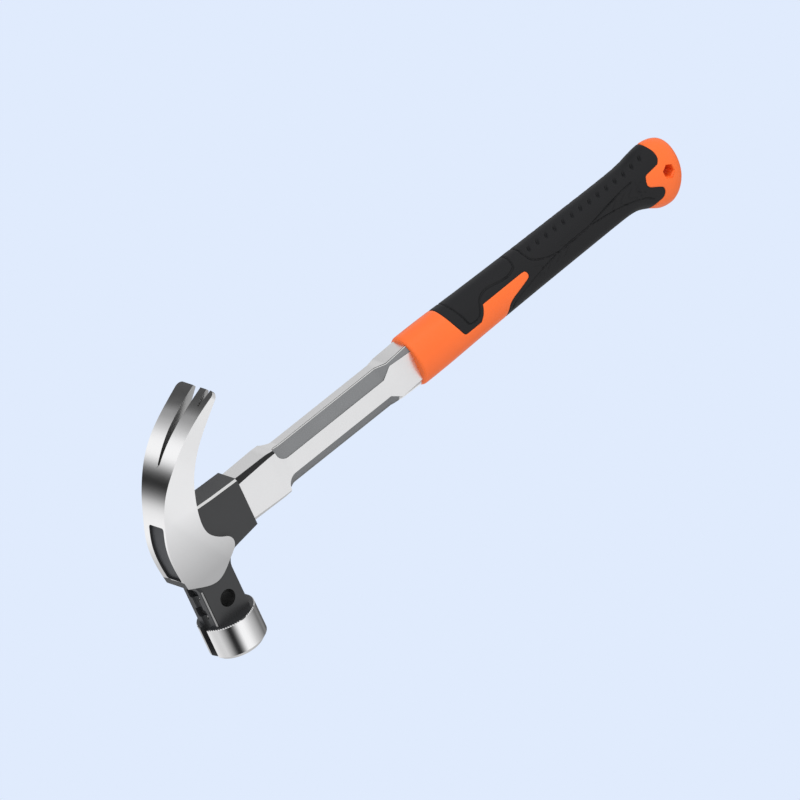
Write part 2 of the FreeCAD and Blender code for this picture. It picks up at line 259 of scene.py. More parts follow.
# ================= shader helpers =================
def put(tree, kind, settings=None, **inputs):
    """Adds a node. An input is a value, or a socket to link from."""
    made = tree.nodes.new(kind)
    for name, value in (settings or {}).items():
        setattr(made, name, value)
    for name, value in inputs.items():
        socket = made.inputs[int(name[1:])] if name[0] == "_" else made.inputs[name.replace("_", " ")]
        if isinstance(value, bpy.types.NodeSocket):
            tree.links.new(value, socket)
        else:
            socket.default_value = value
    return made


def maths(tree, operation, *values):
    inputs = {f"_{index}": value for index, value in enumerate(values)}
    return put(tree, "ShaderNodeMath", {"operation": operation}, **inputs).outputs[0]


def noise(tree, where, scale, detail=3.0, rough=0.55, stretch=(1, 1, 1)):
    """Noise over the object's own coordinates, in metres; scale is in features per metre."""
    mapped = put(tree, "ShaderNodeMapping", Vector=where, Scale=stretch).outputs[0]
    made = put(tree, "ShaderNodeTexNoise", Vector=mapped, Scale=scale, Detail=detail, Roughness=rough)
    return made.outputs["Fac"]


def spread(tree, value, low, high, start=0.3, end=0.7):
    """The value's span from start to end, stretched over low to high."""
    ends = dict(From_Min=start, From_Max=end, To_Min=low, To_Max=high)
    return put(tree, "ShaderNodeMapRange", Value=value, **ends).outputs[0]


def mixed(tree, share, first, second):
    """A mix of two colours, each four numbers or a socket."""
    return put(tree, "ShaderNodeMix", {"data_type": "RGBA"}, _0=share, _6=first, _7=second).outputs[2]


def shade(colour, share):
    return tuple(min(1.0, part * share) for part in colour)


def finish_material(name, colour, metallic, rough, rough_spread, grain, grain_height, stretch=(1, 1, 1),
                    patch=60.0, patch_share=0.06, wear=0.0, wear_colour=(0.7, 0.7, 0.7), specular=0.5,
                    scratches=0.0, painted_shade=None):
    """A finish with patchy colour, uneven gloss, fine grain in relief, rubbed edges and hairlines.

    The painted shade darkens the colour across the head: where it is darkest, where it ends, and the darkest
    share."""
    material = bpy.data.materials.new(name)
    material.use_nodes = True
    tree = material.node_tree
    shader = tree.nodes["Principled BSDF"]
    where = put(tree, "ShaderNodeTexCoord").outputs["Object"]
    patches = noise(tree, where, patch, 4.0)
    fine = noise(tree, where, grain, 3.0, 0.6, stretch)
    darker, lighter = shade(colour, 1 - patch_share), shade(colour, 1 + patch_share)
    base = mixed(tree, spread(tree, patches, 0, 1), (*darker, 1), (*lighter, 1))
    if painted_shade:
        shade_darkest_at, shade_gone_at, share = painted_shade
        split = put(tree, "ShaderNodeSeparateXYZ", Vector=where).outputs
        level = spread(tree, split[1], share, 1.0, shade_darkest_at, shade_gone_at)
        base = put(tree, "ShaderNodeVectorMath", {"operation": "SCALE"}, Vector=base, Scale=level).outputs[0]
    if wear:
        point = put(tree, "ShaderNodeNewGeometry").outputs["Pointiness"]
        broken = spread(tree, noise(tree, where, 900.0, 4.0, 0.7), 0, 1, 0.42, 0.62)
        edge = spread(tree, point, 0.0, 1.0, 0.53, 0.62)
        rubbed = maths(tree, "MULTIPLY", maths(tree, "MULTIPLY", edge, broken), wear)
        base = mixed(tree, rubbed, base, (*wear_colour, 1))
    tree.links.new(base, shader.inputs["Base Color"])
    gloss = spread(tree, patches, rough - rough_spread, rough + rough_spread)
    uneven = maths(tree, "MULTIPLY", maths(tree, "SUBTRACT", fine, 0.5), rough_spread)
    gloss = maths(tree, "ADD", gloss, uneven)
    if scratches:
        lines = noise(tree, where, 260.0, 2.0, 0.5, (0.25, 9.0, 9.0))
        hair = spread(tree, lines, 0.0, 1.0, 0.66, 0.72)
        gloss = maths(tree, "ADD", gloss, maths(tree, "MULTIPLY", hair, scratches))
    tree.links.new(gloss, shader.inputs["Roughness"])
    height = maths(tree, "MULTIPLY", fine, grain_height)
    bump = put(tree, "ShaderNodeBump", Strength=1.0, Distance=1.0, Height=height)
    tree.links.new(bump.outputs[0], shader.inputs["Normal"])
    shader.inputs["Metallic"].default_value = metallic
    shader.inputs["Specular IOR Level"].default_value = specular
    return material


def finish_values(colours):
    """The settings of every finish. Grain and patches are in features per metre, heights in metres."""
    return {
        "mirror_steel": dict(
            colour=colours.steel, metallic=1.0, rough=0.10, rough_spread=0.025, grain=1800.0,
            grain_height=0.0000012, patch=45.0, patch_share=0.02, scratches=0.05),
        # painted shade: the satin faces of the head darken to 56 % of their colour towards the poll
        "satin_steel": dict(
            colour=colours.steel, metallic=1.0, rough=0.36, rough_spread=0.05, grain=2600.0,
            grain_height=0.000004, stretch=(0.12, 1, 1), patch=40.0, patch_share=0.03, scratches=0.05,
            painted_shade=(0.018, -0.018, 0.56)),
        "shaft_steel": dict(
            colour=colours.steel, metallic=1.0, rough=0.33, rough_spread=0.05, grain=3000.0,
            grain_height=0.000004, stretch=(0.1, 1, 1), patch=40.0, patch_share=0.03, scratches=0.06),
        "arris_steel": dict(
            colour=(0.80, 0.80, 0.80), metallic=1.0, rough=0.28, rough_spread=0.04, grain=2500.0,
            grain_height=0.000003, patch_share=0.03),
        "slot_steel": dict(
            colour=(0.42, 0.42, 0.42), metallic=1.0, rough=0.30, rough_spread=0.06, grain=1500.0,
            grain_height=0.000005, patch_share=0.10),
        "head_paint": dict(
            colour=colours.paint, metallic=0.0, rough=0.42, rough_spread=0.06, grain=1100.0,
            grain_height=0.000008, patch=50.0, patch_share=0.08),
        "shadow_paint": dict(
            colour=(0.006, 0.006, 0.006), metallic=0.0, rough=0.6, rough_spread=0.05, grain=1500.0,
            grain_height=0.000006),
        "cover_plastic": dict(
            colour=(0.055, 0.055, 0.056), metallic=0.0, rough=0.52, rough_spread=0.06, grain=1500.0,
            grain_height=0.000014),
        "magnet_metal": dict(
            colour=(0.93, 0.93, 0.92), metallic=1.0, rough=0.16, rough_spread=0.04, grain=1500.0,
            grain_height=0.000003, patch=80.0, patch_share=0.04),
        # painted reflection: the shaft's panels are a darker grey than its steel, standing for the darker
        # light they reflect
        "panel_painted_reflection": dict(
            colour=colours.panel, metallic=0.1, rough=0.55, rough_spread=0.05, grain=3200.0,
            grain_height=0.000016, patch=50.0, patch_share=0.05),
        # painted shade: the rear flats of the shaft next to the collar are near black
        "painted_shade_flat": dict(
            colour=(0.014, 0.014, 0.014), metallic=0.0, rough=0.5, rough_spread=0.05, grain=2500.0,
            grain_height=0.000006, patch=50.0, patch_share=0.08, specular=0.25),
        "wedge_steel": dict(
            colour=(0.55, 0.55, 0.56), metallic=1.0, rough=0.45, rough_spread=0.08, grain=1500.0,
            grain_height=0.00001, patch_share=0.1),
        "hard_plastic": dict(
            colour=colours.orange, metallic=0.0, rough=0.38, rough_spread=0.05, grain=1400.0,
            grain_height=0.000010, patch=45.0, patch_share=0.03, wear=0.15, wear_colour=(1.0, 0.30, 0.10),
            specular=0.4),
        "soft_rubber": dict(
            colour=colours.rubber, metallic=0.0, rough=0.52, rough_spread=0.06, grain=2200.0,
            grain_height=0.000020, patch_share=0.12, wear=0.3, wear_colour=(0.03, 0.03, 0.031),
            specular=0.28),
    }


FINISHES = {}


def finish(name):
    """The named finish, made once."""
    if name not in FINISHES:
        settings = finish_values(bpy.context.scene.hammer_colours)[name]
        FINISHES[name] = finish_material(name, **settings)
    return FINISHES[name]


# ================= mesh helpers =================
def place(fore, along, side):
    return CENTRE + Vector((along, fore, side)) * MM


def local(point):
    """(fore, along, side) in millimetres of a point in the row frame."""
    offset = (point - CENTRE) / MM
    return offset.y, offset.x, offset.z


def add_piece(name, mesh, materials):
    """Shows the mesh. Faces keep their material numbers only where several finishes are given."""
    piece = bpy.data.objects.new(name, mesh)
    bpy.context.scene.collection.objects.link(piece)
    if len(mesh.materials) or len(materials) == 1:
        mesh.materials.clear()
        mesh.polygons.foreach_set("material_index", [0] * len(mesh.polygons))
    for material in materials:
        mesh.materials.append(finish(material))
    return piece


def mesh_of(name, points, faces):
    mesh = bpy.data.meshes.new(name)
    mesh.from_pydata([tuple(point) for point in points], [], faces)
    mesh.update()
    return mesh


def combined(mesh, cutter, operation):
    """The mesh after a boolean with the cutter mesh."""
    scene = bpy.context.scene
    first = bpy.data.objects.new("boolean_target", mesh)
    second = bpy.data.objects.new("boolean_cutter", cutter)
    scene.collection.objects.link(first)
    scene.collection.objects.link(second)
    modifier = first.modifiers.new("boolean", "BOOLEAN")
    modifier.operation = operation
    modifier.solver = "MANIFOLD"
    modifier.object = second
    evaluated = first.evaluated_get(bpy.context.evaluated_depsgraph_get())
    made = bpy.data.meshes.new_from_object(evaluated)
    bpy.data.objects.remove(first)
    bpy.data.objects.remove(second)
    if not made.polygons:
        raise RuntimeError(f"the boolean {operation} left nothing")
    return made


def ring_solid(name, rings, closed=False):
    """A closed mesh through rings of points; closed joins the last ring to the first."""
    around = len(rings[0])
    points = [point for ring in rings for point in ring]
    faces = []
    pairs = len(rings) if closed else len(rings) - 1
    for index in range(pairs):
        start = index * around
        after = (index + 1) % len(rings) * around
        for step in range(around):
            following = (step + 1) % around
            faces.append((start + step, start + following, after + following, after + step))
    if not closed:
        faces.append(tuple(reversed(range(around))))
        last = (len(rings) - 1) * around
        faces.append(tuple(range(last, last + around)))
    mesh = mesh_of(name, points, faces)
    outward(mesh)
    return mesh


def outward(mesh):
    work = bmesh.new()
    work.from_mesh(mesh)
    bmesh.ops.recalc_face_normals(work, faces=work.faces)
    work.to_mesh(mesh)
    work.free()


def prism(name, outline, low, high):
    """A flat outline of (fore, along) points given thickness from low to high."""
    around = len(outline)
    points = [place(fore, along, side) for side in (low, high) for fore, along in outline]
    faces = [tuple(reversed(range(around))), tuple(range(around, 2 * around))]
    for step in range(around):
        following = (step + 1) % around
        faces.append((step, following, around + following, around + step))
    mesh = mesh_of(name, points, faces)
    outward(mesh)
    return mesh


def cubic(share, length, values, slope, index):
    """Values on the cubic from each index to the next that has the given slopes there."""
    square, cube = share ** 2, share ** 3
    return ((2 * cube - 3 * square + 1) * values[index] + (cube - 2 * square + share) * length * slope[index]
            + (3 * square - 2 * cube) * values[index + 1] + (cube - square) * length * slope[index + 1])


def hermite(places, values, at):
    """Smooth interpolation that never swings past its points."""
    step = np.diff(places)
    rise = np.diff(values) / step
    slope = np.concatenate([rise[:1], (rise[:-1] + rise[1:]) / 2, rise[-1:]])
    cap = 3 * np.minimum(abs(rise[:-1]), abs(rise[1:]))
    inner = np.clip(slope[1:-1], -cap, cap)
    inner[rise[:-1] * rise[1:] <= 0] = 0
    slope[1:-1] = inner
    index = np.clip(np.searchsorted(places, at) - 1, 0, len(places) - 2)
    share = (at - places[index]) / step[index]
    return cubic(share, step[index], values, slope, index)


def smooth_run(points, step=0.25):
    """Points along a smooth line through the given points."""
    points = np.array(points, float)
    reach = np.concatenate([[0], np.cumsum(np.hypot(*np.diff(points, axis=0).T))])
    at = np.linspace(0, reach[-1], max(3, int(reach[-1] / step)))
    slope = np.gradient(points, reach, axis=0)
    index = np.clip(np.searchsorted(reach, at) - 1, 0, len(reach) - 2)
    length = np.diff(reach)[index][:, None]
    share = ((at - reach[index]) / length[:, 0])[:, None]
    return cubic(share, length, points, slope, index)


SAME_PLACE = 0.02


def soft_outline():
    """The soft cover's whole outline, with its doubled points left out."""
    made = []
    for curved, points in SOFT_RUNS:
        run = smooth_run(points) if curved else np.array(points, float)
        made.extend(run.tolist())
    clean = [made[0]]
    for point in made[1:]:
        if math.dist(point, clean[-1]) > SAME_PLACE:
            clean.append(point)
    return clean


def distance_to(points, path, closed=False):
    """Distance of each point from a line through the path's points, in the side view."""
    path = np.array(path, float)
    ends = np.roll(path, -1, axis=0) if closed else path[1:]
    starts = path if closed else path[:-1]
    nearest = np.full(len(points), 1e9)
    for start, end in zip(starts, ends):
        way = end - start
        share = np.clip(((points - start) @ way) / max(way @ way, 1e-12), 0, 1)
        gap = points - start - share[:, None] * way
        nearest = np.minimum(nearest, np.hypot(gap[:, 0], gap[:, 1]))
    return nearest


def shift_outline(outline, amount):
    """The outline moved sideways by the amount; above 0 makes it larger."""
    path = np.array(outline, float)
    before, after = np.roll(path, 1, axis=0), np.roll(path, -1, axis=0)
    way = after - before
    way /= np.hypot(way[:, 0], way[:, 1])[:, None]
    area = np.sum(path[:, 0] * after[:, 1] - after[:, 0] * path[:, 1])
    side = np.stack([way[:, 1], -way[:, 0]], axis=1) * (1 if area > 0 else -1)
    return (path + side * amount).tolist()


# ================= grip shape =================
GRIP_TABLE = np.array(GRIP, float)
GRIP_STEPS = np.hypot(np.diff(GRIP_TABLE[:, 0]), np.diff(GRIP_TABLE[:, 1]))
GRIP_REACH = np.concatenate([[0], np.cumsum(GRIP_STEPS)])
CORE_FIRST, CORE_LAST = 4, 13            # sections that the soft cover's hard core spans
DOME_START = 15                          # first section of the tail's dome
SKIN_SHARE = 0.965                       # share of the half size past which a point is on the skin
FRONT_KEPT, TAIL_KEPT = 2.0, 4.0         # ends of the grip that stay as they are
LIP_WIDTH = 0.8


def grip_mesh(name, inward, around, spacing, first=0, last=None):
    """The grip's body as a closed mesh, moved inwards, over a range of its sections."""
    last = len(GRIP) - 1 if last is None else last
    low, high = GRIP_REACH[first], GRIP_REACH[last]
    at = np.linspace(low, high, int((high - low) / spacing))
    along, half_fore, half_side, middle = (hermite(GRIP_REACH, GRIP_TABLE[:, k], at) for k in range(4))
    angles = np.linspace(0, 2 * math.pi, around, endpoint=False)
    rings = []
    for a, f, s, m in zip(along, half_fore - inward, half_side - inward, middle):
        rings.append([place(m + f * math.cos(t), a, s * math.sin(t)) for t in angles])
    return ring_solid(name, rings)


def coordinates(mesh):
    flat = np.zeros(len(mesh.vertices) * 3)
    mesh.vertices.foreach_get("co", flat)
    points = (flat.reshape(-1, 3) - np.array(CENTRE)) / MM
    return points[:, 1].copy(), points[:, 0].copy(), points[:, 2].copy()


def set_coordinates(mesh, fore, along, side):
    points = np.stack([along, fore, side], axis=1) * MM + np.array(CENTRE)
    mesh.vertices.foreach_set("co", points.ravel())
    mesh.update()


def sink(mesh, depth_of):
    """Moves the points of the grip's outer surface inwards by depth_of(fore, along, side)."""
    fore, along, side = coordinates(mesh)
    table = GRIP_TABLE[:DOME_START]
    table = table[np.argsort(table[:, 0])]
    at = np.clip(along, table[0, 0], table[-1, 0])
    half_fore, half_side, middle = (hermite(table[:, 0], table[:, k], at) for k in (1, 2, 3))
    across, up = (fore - middle) / half_fore, side / half_side
    on_skin = np.hypot(across, up) > SKIN_SHARE
    inside = (along < GRIP_FRONT - FRONT_KEPT) & (along > GRIP_END + TAIL_KEPT)
    depth = np.where(on_skin & inside, depth_of(fore, along, side), 0.0)
    normal = np.stack([across / half_fore, up / half_side])
    normal /= np.maximum(np.hypot(*normal), 1e-9)
    set_coordinates(mesh, fore - normal[0] * depth, along, side - normal[1] * depth)


def seam_depth(fore, along, _side):
    """How far the skin sinks beside the seam between hard and soft grip."""
    sizes = bpy.context.scene.hammer_sizes
    gap = distance_to(np.stack([fore, along], axis=1), soft_outline(), closed=True)
    return sizes.lip / MM * np.clip(1 - gap / LIP_WIDTH, 0, 1) ** 2


def bump_of(gap, width, depth):
    """Depth of a rounded channel at a distance from its middle."""
    return depth * np.clip(1 - (gap / width) ** 2, 0, 1) ** 1.5


def soft_depth(fore, along, side):
    """How far the soft cover's skin sinks at its seam, lines, panel, chevrons and dimples."""
    sizes = bpy.context.scene.hammer_sizes
    flat = np.stack([fore, along], axis=1)
    depth = seam_depth(fore, along, side)
    for line in MOULDED_LINES:
        gap = distance_to(flat, smooth_run(line, 0.6))
        depth = np.maximum(depth, bump_of(gap, LINE_WIDTH, sizes.line_depth / MM))
    inside = np.minimum.reduce([fore - PANEL[0], PANEL[1] - fore, PANEL[2] - along, along - PANEL[3]])
    depth += PANEL_DEPTH * np.clip((inside - PANEL_LIP) / PANEL_SLOPE, 0, 1)
    for back, turn in CHEVRONS:
        arm = [(across, GRIP_FRONT - back + rise * turn) for across, rise in CHEVRON_ARM]
        depth += bump_of(distance_to(flat, smooth_run(arm, 0.5)), CHEVRON_WIDTH, CHEVRON_DEPTH)
    across = abs(side) - DIMPLE_SIDE
    for number in range(sizes.dimples):
        length = along - DIMPLE_START + DIMPLE_PITCH * number - DIMPLE_SLANT * across
        gap = np.hypot(length / DIMPLE_LENGTH, across / DIMPLE_WIDTH)
        depth = depth + np.where(fore < 0, bump_of(gap, 1.0, sizes.dimple_depth / MM), 0)
    return depth


# ================= pieces =================
def smooth(mesh, angle):
    """Shades the mesh smooth, with sharp edges above the angle in degrees."""
    mesh.shade_smooth()
    mesh.set_sharp_from_angle(angle=math.radians(angle))


def round_edges(piece, width, from_angle, miter="MITER_SHARP"):
    """Rounds the edges above the angle in degrees, and keeps the flats beside them flat."""
    bevel = piece.modifiers.new("edges", "BEVEL")
    bevel.width = width
    bevel.segments = 2
    bevel.limit_method = "ANGLE"
    bevel.angle_limit = math.radians(from_angle)
    bevel.miter_outer = miter
    even = piece.modifiers.new("normals", "WEIGHTED_NORMAL")
    even.keep_sharp = True
    even.weight = 100


def stand_for(piece, node):
    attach(piece, BODY)
    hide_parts(node)


WELD = 1e-6                              # metres
FLAT_ANGLE = 0.03                        # degrees between faces that are joined as one flat
HEAD_SHARP, HEAD_BEVEL = 24, 28          # degrees


def copy_of(node):
    """A working copy of a CAD node's mesh with its flat faces joined."""
    work = bmesh.new()
    work.from_mesh(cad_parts[node].data)
    bmesh.ops.remove_doubles(work, verts=work.verts, dist=WELD)
    bmesh.ops.dissolve_limit(work, angle_limit=math.radians(FLAT_ANGLE), verts=work.verts, edges=work.edges,
                             use_dissolve_boundaries=False)
    work.normal_update()
    return work


def shown(work, name, materials):
    """Turns a working copy into a piece."""
    mesh = bpy.data.meshes.new(name)
    work.to_mesh(mesh)
    work.free()
    smooth(mesh, HEAD_SHARP)
    return add_piece(name, mesh, materials)


def rounded_copy(node, name, finish_name, width):
    """Shows a CAD node by a copy of its mesh with rounded edges."""
    piece = shown(copy_of(node), name, [finish_name])
    round_edges(piece, width, HEAD_BEVEL)
    stand_for(piece, node)


HEAD_FINISHES = ["mirror_steel", "satin_steel", "head_paint", "arris_steel", "slot_steel", "shadow_paint"]
MIRROR, SATIN, PAINT, BRIGHT, SLOT, SHADOW = range(6)
SWEEP_STEP = 0.5
SWEEP_REACH = 0.45                       # how near the outline a corner has to lie
SWEEP_END = 17.0
SWEEP_LEAN = 0.03                        # most upward share of a swept face's normal
SWEEP_ALIKE = 0.97                       # least agreement with the face's own normal


def nearest_on(path, way, flat):
    """How far each point lies from the path, and its place on it as a fractional index."""
    nearest = np.full(len(flat), 1e9)
    index = np.zeros(len(flat), int)
    for number, point in enumerate(path):
        gap = np.hypot(*(flat - point).T)
        closer = gap < nearest
        nearest[closer] = gap[closer]
        index[closer] = number
    step = np.einsum("ij,ij->i", flat - path[index], way[index]) / SWEEP_STEP
    return nearest, np.clip(index + step, 0, len(path) - 1)


def sweep_normals(mesh):
    """Gives the claw's curved faces the smooth normals of their side outline."""
    count = len(mesh.loops)
    normals = np.zeros(count * 3)
    mesh.corner_normals.foreach_get("vector", normals)
    normals = normals.reshape(-1, 3)
    fore, along, _ = coordinates(mesh)
    flat = np.stack([fore, along], axis=1)
    owners = np.zeros(count, int)
    mesh.loops.foreach_get("vertex_index", owners)
    for outline in (CROWN, UNDERSIDE):
        path = smooth_run(outline, SWEEP_STEP)
        way = np.gradient(path, axis=0)
        way /= np.hypot(way[:, 0], way[:, 1])[:, None]
        nearest, place_on = nearest_on(path, way, flat)
        reach = np.arange(len(path))
        outwards = [np.interp(place_on, reach, way[:, 1]), -np.interp(place_on, reach, way[:, 0])]
        across = np.stack(outwards, axis=1)
        for polygon in mesh.polygons:
            normal = polygon.normal
            if abs(normal.z) > SWEEP_LEAN or polygon.material_index not in (MIRROR, SATIN):
                continue
            loops = np.array(polygon.loop_indices)
            points = owners[loops]
            if nearest[points].max() > SWEEP_REACH or fore[points].max() > SWEEP_END:
                continue
            chosen = across[points]
            own = np.array((normal.y, normal.x))
            if (chosen @ own).min() < 0:
                chosen = -chosen
            if (chosen @ own).min() < SWEEP_ALIKE:
                continue
            normals[loops] = np.stack([chosen[:, 1], chosen[:, 0], np.zeros(len(chosen))], axis=1)
    mesh.normals_split_custom_set(normals.tolist())


def settled(piece):
    """The piece's mesh with its modifiers applied."""
    bpy.context.view_layer.update()
    graph = bpy.context.evaluated_depsgraph_get()
    made = bpy.data.meshes.new_from_object(
        piece.evaluated_get(graph), preserve_all_data_layers=True, depsgraph=graph)
    if not made.polygons:
        raise RuntimeError(piece.name + " has no faces once its modifiers are applied")
    piece.modifiers.clear()
    piece.data = made
    return made


def poll_finish(fore, along, side, normal):
    radius = math.hypot(along - POLL_AXIS, side)
    in_groove = abs(side) < GROOVE_HALF + NEAR and along > GROOVE_FOOT and radius < POLL_RADIUS - 0.25
    on_shoulder = normal.y < -0.3 and radius < POLL_RADIUS - 0.2
    in_core = radius < POLL_RADIUS - POLL_CORE and fore < FACE_FORE - FACE_DEPTH
    return PAINT if in_groove or on_shoulder or in_core else MIRROR


def is_arris(flat, side):
    """True on the narrow sloping face beside the neck's or the collar's flat."""
    return EDGE_TILT[0] < flat < EDGE_TILT[1] and abs(side) > CORE_HALF - ARRIS + NEAR


def slot_half(distance, length):
    """Half the nail slot's width at a distance from its root."""
    root, middle, tip = SLOT_HALVES
    if distance > SLOT_MIDDLE:
        return middle + (tip - middle) * (distance - SLOT_MIDDLE) / (length + SLOT_RUN_OUT - SLOT_MIDDLE)
    return root + (middle - root) * max(0, distance) / SLOT_MIDDLE


def in_slot(fore, along, side):
    """True on the walls of the nail slot and of the small notch in one tine."""
    way = Vector(SLOT_TIP) - Vector(SLOT_ROOT)
    length = way.length
    distance = (Vector((fore, along)) - Vector(SLOT_ROOT)).dot(way.normalized())
    if distance <= -2 or fore >= SLOT_FORE:
        return False
    if abs(side) < slot_half(distance, length) + CLOSE:
        return True
    if not NOTCH_REACH[0] < side < NOTCH_REACH[1] or distance <= length - NOTCH_LENGTH - 1.2:
        return False
    into = (distance - length + NOTCH_LENGTH) / (NOTCH_LENGTH + 2)
    return abs(side - NOTCH_SIDE) < NOTCH_HALF + 1.2 * max(0, into) + CLOSE


def in_recess(fore, along, side, normal):
    over = RECESS[0] - NEAR < fore < RECESS[1] + NEAR and RECESS[2] - NEAR < side < RECESS[3] + NEAR
    return over and along > TANG_TOP - 0.2 and (normal.x < 0.2 or along < TANG_TOP + 0.2)


def head_finish(face):
    """The finish of one face of the head, by where it lies and which way it points."""
    fore, along, side = local(face.calc_center_median())
    normal = face.normal
    flat = abs(normal.z)
    if fore > POLL_BACK - 0.6:
        return poll_finish(fore, along, side, normal)
    if math.hypot(fore - HOLE_FORE, along) < HOLE_RADIUS + NEAR and flat < 0.5:
        return SHADOW
    if fore > NECK_START and abs(side) < CORE_HALF + NEAR:
        beside = along < NECK_EDGE_GAP[0] or along > NECK_EDGE_GAP[1]
        return BRIGHT if is_arris(flat, side) and fore > NECK_EDGE_START and beside else PAINT
    if in_recess(fore, along, side, normal):
        return PAINT
    if abs(side) < CORE_HALF + 0.05 and along < COLLAR_TOP and COLLAR_SPAN[0] < fore < COLLAR_SPAN[1]:
        if is_arris(flat, side):
            return BRIGHT
        if flat > EDGE_TILT[1] or along < COLLAR_FOOT or not COLLAR_FLAT[0] <= fore <= COLLAR_FLAT[1]:
            return PAINT
    if abs(side) < CORE_HALF - 0.5 and along < EYE_TOP and abs(fore) < EYE_HALF and flat > 0.2:
        return PAINT
    if in_slot(fore, along, side):
        return SLOT
    if flat > 0.75 and abs(side) > CHEEK_HALF - 0.2:
        return SATIN
    if fore > RECESS[1] + 0.2 and along > NOSE_TOP:
        return PAINT
    if fore > SATIN_START and abs(side) <= CHEEK_HALF and along < SATIN_TOP and flat < 0.4:
        return SATIN
    return MIRROR


NECK_LINE = 2.2                          # the neck's painted shadow line is this many times the collar's
COVER_EDGE, MAGNET_EDGE = 0.0003, 0.0002  # metres


class HAMMER_OT_head(bpy.types.Operator):
    """Forged head: polished claw and poll, satin cheeks, painted neck and collar"""
    bl_idname = "hammer.head"
    bl_label = "Steel head"

    def execute(self, context):
        sizes = context.scene.hammer_sizes
        work = copy_of("hammer_head")
        for face in work.faces:
            face.material_index = head_finish(face)
        bright = [face for face in work.faces if face.material_index == BRIGHT]
        if not bright:
            raise RuntimeError("the head has no bright arris")
        on_neck = [face for face in bright if local(face.calc_center_median())[0] > NECK_LINE_START]
        on_collar = [face for face in bright if face not in on_neck]
        for faces, width in ((on_collar, sizes.shadow_line), (on_neck, sizes.shadow_line * NECK_LINE)):
            rims = bmesh.ops.inset_region(work, faces=faces, thickness=width, use_even_offset=True)
            for face in rims["faces"]:
                near_side = abs(local(face.calc_center_median())[2]) > CORE_HALF - ARRIS / 2
                face.material_index = SHADOW if near_side else PAINT
        piece = shown(work, "steel_head", HEAD_FINISHES)
        round_edges(piece, sizes.edge, HEAD_BEVEL, "MITER_ARC")
        sweep_normals(settled(piece))
        stand_for(piece, "hammer_head")
        return {"FINISHED"}


class HAMMER_OT_eye_cover(bpy.types.Operator):
    """Plastic cover over the eye, in its recess in the crown"""
    bl_idname = "hammer.eye_cover"
    bl_label = "Eye cover"

    def execute(self, context):
        rounded_copy("eye_cover", "eye_cap", "cover_plastic", COVER_EDGE)
        return {"FINISHED"}


class HAMMER_OT_magnets(bpy.types.Operator):
    """Two disc magnets in the nail starter"""
    bl_idname = "hammer.magnets"
    bl_label = "Nail magnets"

    def execute(self, context):
        rounded_copy("nail_magnets", "nail_magnet_discs", "magnet_metal", MAGNET_EDGE)
        return {"FINISHED"}


def shaft_ring(section, inward=0.0):
    """24 points round the shaft: four flats joined by four panels with a step at each edge."""
    along, half_fore, half_side, broad, narrow, depth = section
    if inward:
        run, rise = half_fore - broad, half_side - narrow
        length = math.hypot(run, rise)
        nx, ny = rise / length, run / length
        narrow -= inward * (1 - nx) / ny
        broad -= inward * (1 - ny) / nx
        half_fore -= inward
        half_side -= inward
        depth = 0.0
    start, end = Vector((half_fore, narrow)), Vector((broad, half_side))
    way = (end - start).normalized()
    inwards = Vector((-abs(way.y), -abs(way.x)))
    width = (end - start).length
    step = min(0.35, width * 0.15)
    quarter = [
        start,
        start + way * step * 0.5 + inwards * depth,
        start + way * step * 1.8 + inwards * depth * 0.85,
        end - way * step * 1.8 + inwards * depth * 0.85,
        end - way * step * 0.5 + inwards * depth,
        end,
    ]
    ring = list(quarter)
    ring += [Vector((-p.x, p.y)) for p in reversed(quarter)]
    ring += [Vector((-p.x, -p.y)) for p in quarter]
    ring += [Vector((p.x, -p.y)) for p in reversed(quarter)]
    return [place(p.x, along, p.y) for p in ring]


PANEL_END_STEPS, RAMP_STEPS = 12, 4


def section_between(before, after, share, half_share, flat_share, depth_share):
    """A section between two others, whose half sizes, flats and panel depth have their own shares."""
    shares = (share, half_share, half_share, flat_share, flat_share, depth_share)
    return tuple(a + (b - a) * part for a, b, part in zip(before, after, shares))


def shaft_sections():
    """The shaft's sections with the rounded head-side end of the panels filled in."""
    made = []
    for before, after in zip(SHAFT, SHAFT[1:]):
        made.append(before)
        panel_end = after[0] == WAIST_HEAD
        on_ramp = before[0] in (WAIST_HEAD + 11.0, WAIST_GRIP)
        steps = PANEL_END_STEPS if panel_end else RAMP_STEPS if on_ramp else 1
        for number in range(1, steps):
            share = number / steps
            soft = 3 * share ** 2 - 2 * share ** 3
            flat_share = math.sqrt(1 - (1 - share) ** 2) if panel_end else share
            depth_share = min(1, share * 3) if panel_end else share
            made.append(section_between(before, after, share, soft, flat_share, depth_share))
    made.append(SHAFT[-1])
    return made


def tang_section(along):
    half_fore, half_side, broad, narrow = TANG
    return (along, half_fore, half_side, broad, narrow, 0.0)


def shaft_solid():
    return ring_solid("shaft_room", [shaft_ring(section) for section in shaft_sections()])


SHAFT_FINISHES = ["shaft_steel", "panel_painted_reflection", "painted_shade_flat", "shadow_paint", "arris_steel"]
PLAIN, PANELLED, SHADED_FLAT, STEP_SHADOW, STEP_EDGE = range(5)
RING_POINTS, QUARTER_POINTS = 24, 6
SHAFT_SHARP, SHAFT_BEVEL = 18, 24        # degrees


def shaft_finish(index, along, outer_faces):
    """The finish of one face of the shaft, by its number round the rings and its place."""
    around = index % RING_POINTS
    step = around % QUARTER_POINTS
    hidden = index >= outer_faces or along > COLLAR_END - 0.01 or along < GRIP_FRONT - 6
    if hidden or step == QUARTER_POINTS - 1:
        return PLAIN
    quadrant = around // QUARTER_POINTS
    rear = quadrant in (1, 2)
    # painted shade: the rear flats next to the collar get the near-black finish
    if along > WAIST_HEAD + 5.5:
        return SHADED_FLAT if rear else PLAIN
    if not rear:
        return PLAIN if along < WAIST_GRIP - 5.0 else PANELLED
    from_broad_edge = step if quadrant % 2 == 0 else 4 - step
    return {0: STEP_SHADOW, 1: STEP_EDGE, 4: STEP_SHADOW}.get(from_broad_edge, PANELLED)


